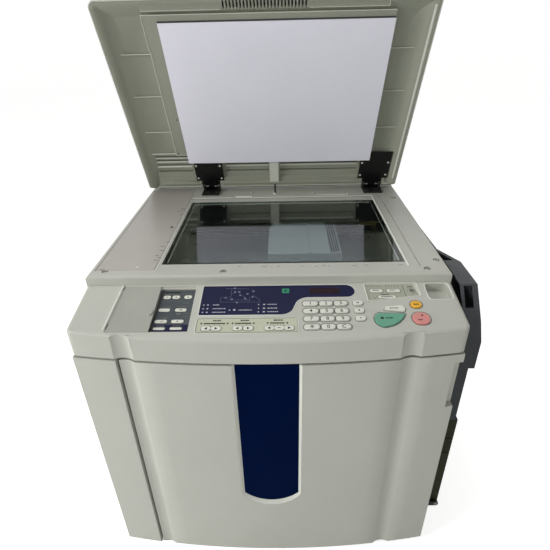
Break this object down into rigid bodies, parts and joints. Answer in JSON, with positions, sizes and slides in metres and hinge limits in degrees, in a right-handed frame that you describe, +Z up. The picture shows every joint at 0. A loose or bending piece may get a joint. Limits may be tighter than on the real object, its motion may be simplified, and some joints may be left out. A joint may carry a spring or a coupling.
{
  "type": "digital duplicator",
  "caption": "Floor or stand mounted office duplicator: hinged document lid over a scanner glass, sloping key panel, front door, and paper trays folded up at both sides.",
  "frame": {"origin": "on the floor, under the middle of the machine's overall box with its lid open and both trays folded up", "axes": "+Z up, +X to the user's right, -Y towards the user at the front"},
  "size_m": [0.758, 0.655, 1.0394],
  "materials": {
    "body_plastic": "fine moulded texture, warm light grey",
    "liner_plastic": "smooth moulding, grey with a green cast",
    "door_blue": "glossy deep navy inlay",
    "film_navy": "printed facing film, satin",
    "key_grey": "satin key caps",
    "start_green": "satin sea green",
    "stop_pink": "satin salmon",
    "reset_yellow": "satin amber",
    "glass": "clear float glass",
    "sheet_steel": "zinc-plated sheet steel",
    "black_steel": "black lacquered steel",
    "drum_steel": "fine screened steel",
    "black_plastic": "black moulded plastic",
    "tray_plastic": "dark grey moulded plastic",
    "pad_white": "white sheet over thin foam",
    "rubber": "matt rubber",
    "motor_metal": "yellow-passivated metal"
  },
  "bodies": {
    "machine": {"left_cover": "body_plastic", "right_cover": "body_plastic", "rear_cover": "body_plastic", "front_strip": "body_plastic", "panel_housing": "body_plastic", "scanner_top": "body_plastic", "scale_plate": "liner_plastic", "panel_films": "film_navy", "membrane_keys": "key_grey", "exposure_glass": "glass", "base_plate": "sheet_steel", "front_frame_plate": "sheet_steel", "rear_frame_plate": "sheet_steel", "scanner_pan": "sheet_steel", "lens_cover": "sheet_steel", "scan_rails": "sheet_steel", "hinge_pins": "sheet_steel", "hinge_brackets": "black_steel", "power_inlet": "black_plastic", "ink_bottle": "black_plastic", "drum_carrier": "black_plastic", "master_unit": "black_plastic", "base_feet": "rubber", "scan_motor": "motor_metal", "main_motor": "motor_metal"},
    "lid": {"lid_cover": "body_plastic", "lid_liner": "liner_plastic", "lid_pad": "pad_white", "lid_hinge_plates": "black_steel"},
    "door": {"front_door": "body_plastic", "door_inlay": "door_blue"},
    "receiving_tray_body": {"receiving_tray": "tray_plastic"},
    "receiving_guide_front_body": {"receiving_guide_front": "black_plastic"},
    "receiving_guide_rear_body": {"receiving_guide_rear": "black_plastic"},
    "feed_tray_body": {"feed_tray": "body_plastic"},
    "feed_guide_front_body": {"feed_guide_front": "black_plastic"},
    "feed_guide_rear_body": {"feed_guide_rear": "black_plastic"},
    "panel_cover": {"cover_slider": "body_plastic"},
    "lamp_carriage_body": {"lamp_carriage": "black_steel"},
    "mirror_carriage_body": {"mirror_carriage": "black_steel"},
    "sensor_rod": {"lid_sensor_rod": "black_plastic"},
    "drum": {"print_drum": "drum_steel"},
    "pressure_roller_body": {"pressure_roller": "rubber"},
    "pickup_roller_body": {"pickup_roller": "rubber"},
    "rocker": {"power_switch": "black_plastic"},
    "key_1_cap": {"key_1": "key_grey"},
    "key_2_cap": {"key_2": "key_grey"},
    "key_3_cap": {"key_3": "key_grey"},
    "key_4_cap": {"key_4": "key_grey"},
    "key_5_cap": {"key_5": "key_grey"},
    "key_6_cap": {"key_6": "key_grey"},
    "key_7_cap": {"key_7": "key_grey"},
    "key_8_cap": {"key_8": "key_grey"},
    "key_9_cap": {"key_9": "key_grey"},
    "key_star_cap": {"key_star": "key_grey"},
    "key_0_cap": {"key_0": "key_grey"},
    "key_clear_cap": {"key_clear": "key_grey"},
    "start_key_cap": {"start_key": "start_green"},
    "reset_key_cap": {"reset_key": "reset_yellow"},
    "stop_key_cap": {"stop_key": "stop_pink"}
  },
  "joints": [
    {"name": "lid_hinge", "type": "hinge", "parent": "machine", "child": "lid", "pos_m": [0.02525, 0.2615, 0.6216], "axis": [-1, 0, 0], "range_deg": [-65, 0]},
    {"name": "door_hinge", "type": "hinge", "parent": "machine", "child": "door", "pos_m": [-0.20805, -0.30453, 0.265], "axis": [0, 0, -1], "range_deg": [0, 100]},
    {"name": "receiving_tray_hinge", "type": "hinge", "parent": "machine", "child": "receiving_tray_body", "pos_m": [0.373, 0.01, 0.082], "axis": [0, 1, 0], "range_deg": [0, 90]},
    {"name": "feed_tray_hinge", "type": "hinge", "parent": "machine", "child": "feed_tray_body", "pos_m": [-0.3695, 0.01, 0.13], "axis": [0, -1, 0], "range_deg": [0, 90]},
    {"name": "receiving_guide_front_slide", "type": "slide", "parent": "receiving_tray_body", "child": "receiving_guide_front_body", "axis": [0, 1, 0], "range_m": [0, 0.14]},
    {"name": "receiving_guide_rear_slide", "type": "slide", "parent": "receiving_tray_body", "child": "receiving_guide_rear_body", "axis": [0, 1, 0], "range_m": [-0.14, 0]},
    {"name": "feed_guide_front_slide", "type": "slide", "parent": "feed_tray_body", "child": "feed_guide_front_body", "axis": [0, 1, 0], "range_m": [0, 0.08]},
    {"name": "feed_guide_rear_slide", "type": "slide", "parent": "feed_tray_body", "child": "feed_guide_rear_body", "axis": [0, 1, 0], "range_m": [-0.08, 0]},
    {"name": "panel_cover_slide", "type": "slide", "parent": "machine", "child": "panel_cover", "axis": [1, 0, 0], "range_m": [0, 0.061]},
    {"name": "lamp_carriage_slide", "type": "slide", "parent": "machine", "child": "lamp_carriage_body", "axis": [0, -1, 0], "range_m": [0, 0.3]},
    {"name": "mirror_carriage_slide", "type": "slide", "parent": "machine", "child": "mirror_carriage_body", "axis": [0, -1, 0], "range_m": [0, 0.15]},
    {"name": "sensor_rod_slide", "type": "slide", "parent": "machine", "child": "sensor_rod", "axis": [0, 0, 1], "range_m": [-0.0211, 0]},
    {"name": "drum_spin", "type": "hinge", "parent": "machine", "child": "drum", "pos_m": [0.04525, 0, 0.34], "axis": [0, 1, 0], "continuous": true},
    {"name": "pressure_roller_spin", "type": "hinge", "parent": "machine", "child": "pressure_roller_body", "pos_m": [0.04525, 0, 0.2196], "axis": [0, 1, 0], "continuous": true},
    {"name": "pickup_roller_spin", "type": "hinge", "parent": "machine", "child": "pickup_roller_body", "pos_m": [-0.22975, 0, 0.262], "axis": [0, 1, 0], "continuous": true},
    {"name": "power_switch_rock", "type": "hinge", "parent": "machine", "child": "rocker", "pos_m": [-0.17975, 0.3195, 0.06], "axis": [1, 0, 0], "range_deg": [0, 16]},
    {"name": "key_1_press", "type": "slide", "parent": "machine", "child": "key_1_cap", "axis": [0, 0.1857, -0.9826], "range_m": [0, 0.0015], "stiffness_N_per_m": 600, "springref_m": -0.0005},
    {"name": "key_2_press", "type": "slide", "parent": "machine", "child": "key_2_cap", "axis": [0, 0.1857, -0.9826], "range_m": [0, 0.0015], "stiffness_N_per_m": 600, "springref_m": -0.0005},
    {"name": "key_3_press", "type": "slide", "parent": "machine", "child": "key_3_cap", "axis": [0, 0.1857, -0.9826], "range_m": [0, 0.0015], "stiffness_N_per_m": 600, "springref_m": -0.0005},
    {"name": "key_4_press", "type": "slide", "parent": "machine", "child": "key_4_cap", "axis": [0, 0.1857, -0.9826], "range_m": [0, 0.0015], "stiffness_N_per_m": 600, "springref_m": -0.0005},
    {"name": "key_5_press", "type": "slide", "parent": "machine", "child": "key_5_cap", "axis": [0, 0.1857, -0.9826], "range_m": [0, 0.0015], "stiffness_N_per_m": 600, "springref_m": -0.0005},
    {"name": "key_6_press", "type": "slide", "parent": "machine", "child": "key_6_cap", "axis": [0, 0.1857, -0.9826], "range_m": [0, 0.0015], "stiffness_N_per_m": 600, "springref_m": -0.0005},
    {"name": "key_7_press", "type": "slide", "parent": "machine", "child": "key_7_cap", "axis": [0, 0.1857, -0.9826], "range_m": [0, 0.0015], "stiffness_N_per_m": 600, "springref_m": -0.0005},
    {"name": "key_8_press", "type": "slide", "parent": "machine", "child": "key_8_cap", "axis": [0, 0.1857, -0.9826], "range_m": [0, 0.0015], "stiffness_N_per_m": 600, "springref_m": -0.0005},
    {"name": "key_9_press", "type": "slide", "parent": "machine", "child": "key_9_cap", "axis": [0, 0.1857, -0.9826], "range_m": [0, 0.0015], "stiffness_N_per_m": 600, "springref_m": -0.0005},
    {"name": "key_star_press", "type": "slide", "parent": "machine", "child": "key_star_cap", "axis": [0, 0.1857, -0.9826], "range_m": [0, 0.0015], "stiffness_N_per_m": 600, "springref_m": -0.0005},
    {"name": "key_0_press", "type": "slide", "parent": "machine", "child": "key_0_cap", "axis": [0, 0.1857, -0.9826], "range_m": [0, 0.0015], "stiffness_N_per_m": 600, "springref_m": -0.0005},
    {"name": "key_clear_press", "type": "slide", "parent": "machine", "child": "key_clear_cap", "axis": [0, 0.1857, -0.9826], "range_m": [0, 0.0015], "stiffness_N_per_m": 600, "springref_m": -0.0005},
    {"name": "start_key_press", "type": "slide", "parent": "machine", "child": "start_key_cap", "axis": [0, 0.1857, -0.9826], "range_m": [0, 0.0015], "stiffness_N_per_m": 600, "springref_m": -0.0005},
    {"name": "reset_key_press", "type": "slide", "parent": "machine", "child": "reset_key_cap", "axis": [0, 0.1857, -0.9826], "range_m": [0, 0.0015], "stiffness_N_per_m": 600, "springref_m": -0.0005},
    {"name": "stop_key_press", "type": "slide", "parent": "machine", "child": "stop_key_cap", "axis": [0, 0.1857, -0.9826], "range_m": [0, 0.0015], "stiffness_N_per_m": 600, "springref_m": -0.0005}
  ],
  "couplings": [
    {"joint": "receiving_guide_rear_slide", "follows": "receiving_guide_front_slide", "ratio": -1},
    {"joint": "feed_guide_rear_slide", "follows": "feed_guide_front_slide", "ratio": -1},
    {"joint": "mirror_carriage_slide", "follows": "lamp_carriage_slide", "ratio": 0.5},
    {"joint": "sensor_rod_slide", "follows": "lid_hinge", "m_per_rad": 0.018511},
    {"joint": "pressure_roller_spin", "follows": "drum_spin", "ratio": -3}
  ]
}
